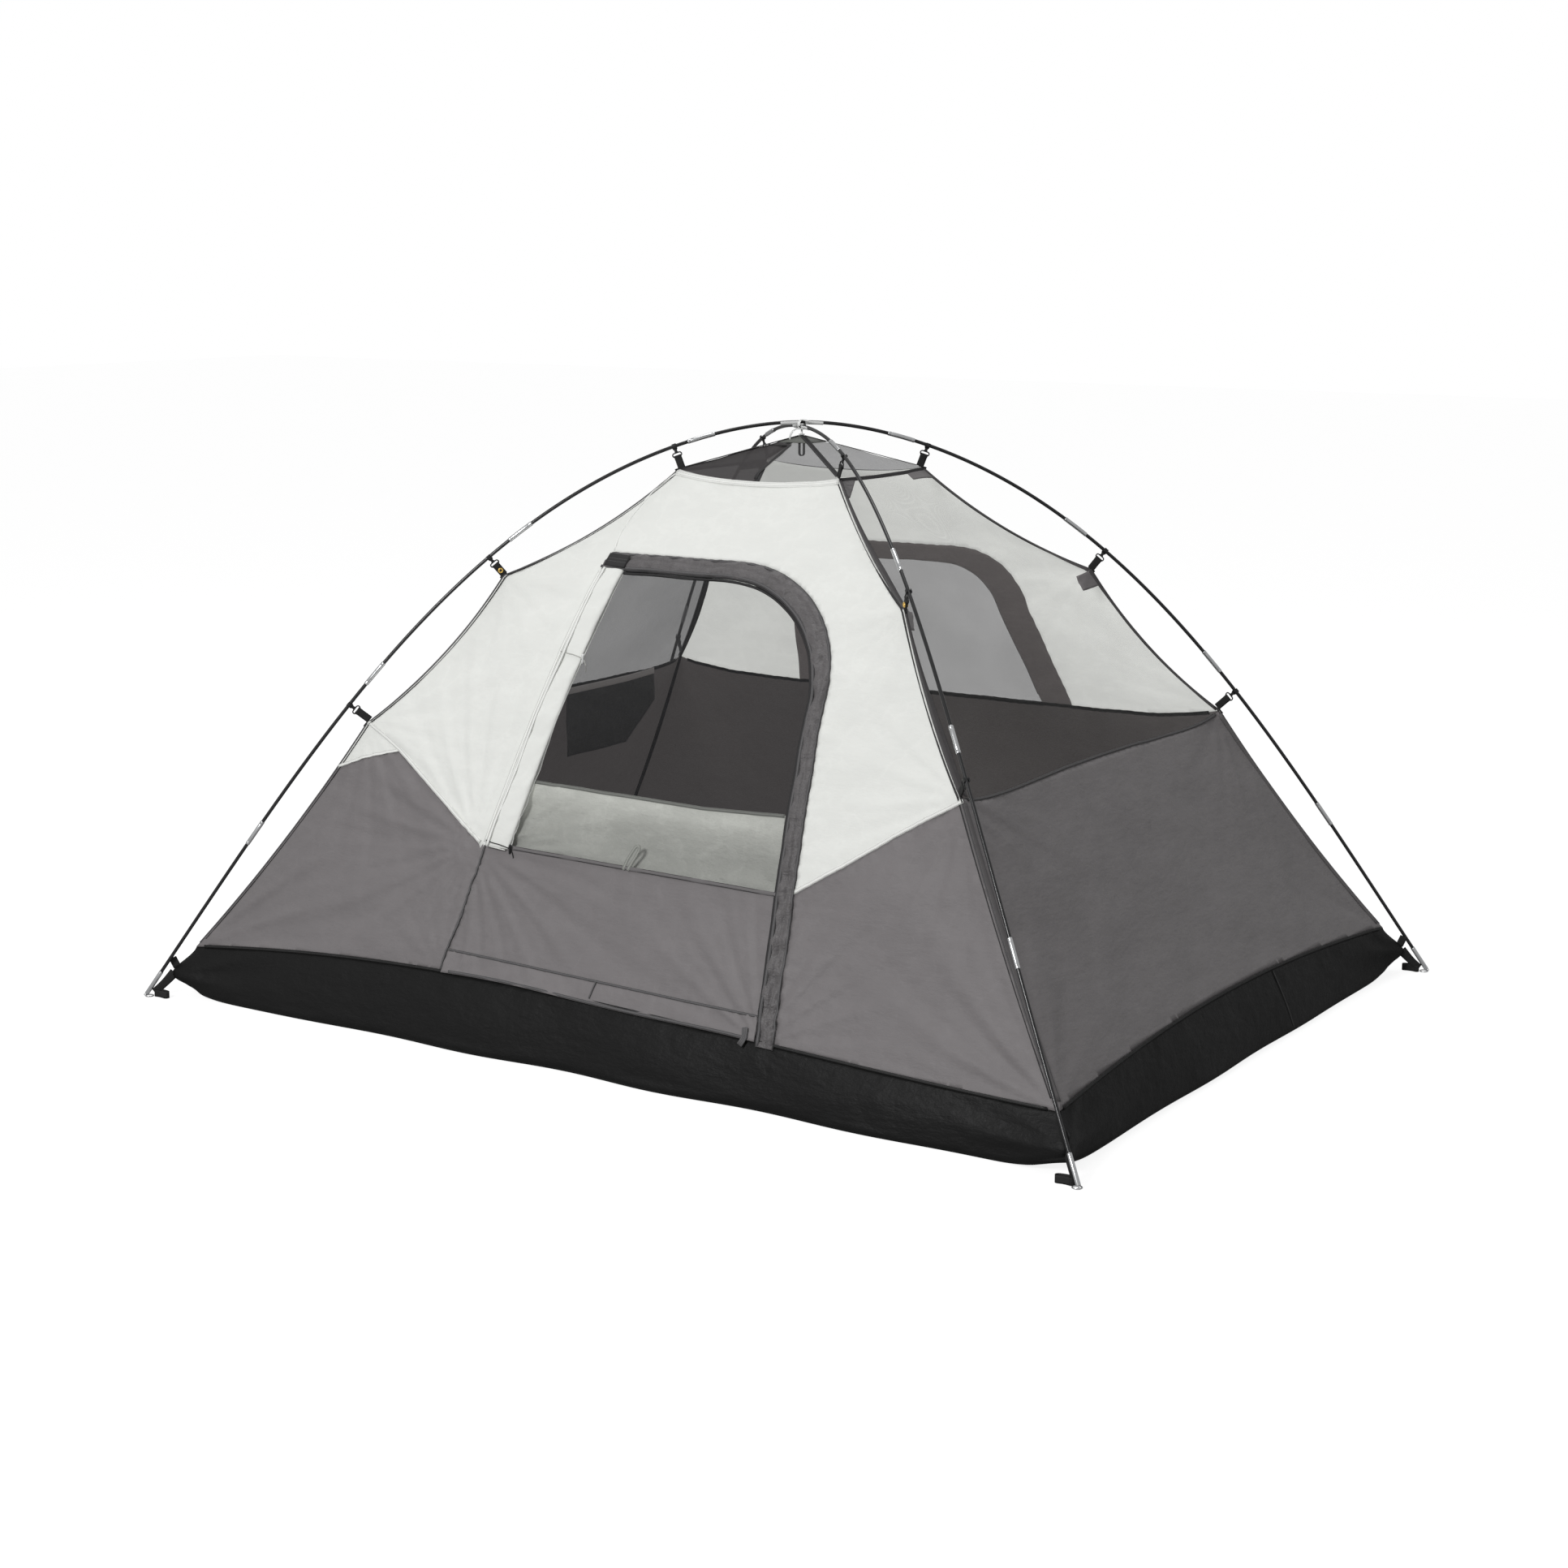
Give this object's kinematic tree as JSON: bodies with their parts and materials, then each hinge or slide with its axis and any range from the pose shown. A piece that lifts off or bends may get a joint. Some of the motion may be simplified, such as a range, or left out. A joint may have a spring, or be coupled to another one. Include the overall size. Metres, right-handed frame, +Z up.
{
  "type": "dome tent",
  "caption": "Free-standing dome tent: two crossed bent poles carry a clipped fabric body with mesh walls, a bathtub floor and a side-hinged front door.",
  "frame": {"origin": "on the ground under the middle of the whole tent", "axes": "+X along the tent's width to the right of the door, +Y towards the back wall, +Z up"},
  "size_m": [2.8732, 2.2184, 1.5736],
  "materials": {
    "light_cloth": "matt coated polyester",
    "grey_cloth": "matt coated polyester",
    "tub_cloth": "coated groundsheet",
    "band_cloth": "matt polyester",
    "inner_cloth": "matt polyester",
    "mesh": "fine netting",
    "pole": "wrapped fibreglass with steel ferrules",
    "steel": "plated steel wire",
    "clip_plastic": "moulded, with webbing tab",
    "webbing": "woven webbing",
    "clear_plastic": "translucent moulding",
    "zip_metal": "painted slider"
  },
  "bodies": {
    "tent": {"pole_a_section_1": "pole", "pole_a_section_2": "pole", "pole_a_section_3": "pole", "pole_a_section_4": "pole", "pole_a_section_5": "pole", "pole_a_section_6": "pole", "pole_a_section_7": "pole", "pole_a_section_8": "pole", "pole_a_section_9": "pole", "pole_b_section_1": "pole", "pole_b_section_2": "pole", "pole_b_section_3": "pole", "pole_b_section_4": "pole", "pole_b_section_5": "pole", "pole_b_section_6": "pole", "pole_b_section_7": "pole", "pole_b_section_8": "pole", "pole_b_section_9": "pole", "front_upper_panel": "light_cloth", "front_lower_left_panel": "grey_cloth", "front_lower_right_panel": "grey_cloth", "door_zip_flap": "band_cloth", "back_lower_panel": "grey_cloth", "back_upper_panel": "light_cloth", "back_window_band": "band_cloth", "back_window_mesh": "mesh", "left_lower_panel": "grey_cloth", "left_mesh_panel": "mesh", "right_lower_panel": "grey_cloth", "right_mesh_panel": "mesh", "roof_mesh": "mesh", "bathtub_floor": "tub_cloth", "storage_pocket": "grey_cloth", "clip_front_left_low": "clip_plastic", "clip_front_left_middle": "clip_plastic", "clip_front_left_top": "clip_plastic", "corner_pin_front_left": "steel", "corner_strap_front_left": "webbing", "clip_front_right_low": "clip_plastic", "clip_front_right_middle": "clip_plastic", "clip_front_right_top": "clip_plastic", "corner_pin_front_right": "steel", "corner_strap_front_right": "webbing", "clip_back_right_low": "clip_plastic", "clip_back_right_middle": "clip_plastic", "clip_back_right_top": "clip_plastic", "corner_pin_back_right": "steel", "corner_strap_back_right": "webbing", "clip_back_left_low": "clip_plastic", "clip_back_left_middle": "clip_plastic", "clip_back_left_top": "clip_plastic", "corner_pin_back_left": "steel", "corner_strap_back_left": "webbing", "crown_clip": "clear_plastic"},
    "front_door": {"door_lower_panel": "grey_cloth", "door_window_mesh": "mesh", "rolled_window_cover": "light_cloth", "inner_door_cover": "inner_cloth"},
    "zip_slider": {"zip_slider": "zip_metal"},
    "lantern_loop": {"lantern_loop": "webbing"}
  },
  "joints": [
    {"name": "door_hinge", "type": "hinge", "parent": "tent", "child": "front_door", "pos_m": [-0.4799, -1.0206, 0.1934], "axis": [-0.1231, -0.4644, -0.877], "range_deg": [0, 100]},
    {"name": "zip_slide", "type": "slide", "parent": "tent", "child": "zip_slider", "axis": [-0.1008, 0.4056, 0.9085], "range_m": [0, 0.47]},
    {"name": "lantern_loop_swing", "type": "hinge", "parent": "tent", "child": "lantern_loop", "pos_m": [0, 0, 1.5238], "axis": [1, 0, 0], "range_deg": [-40, 40]}
  ]
}
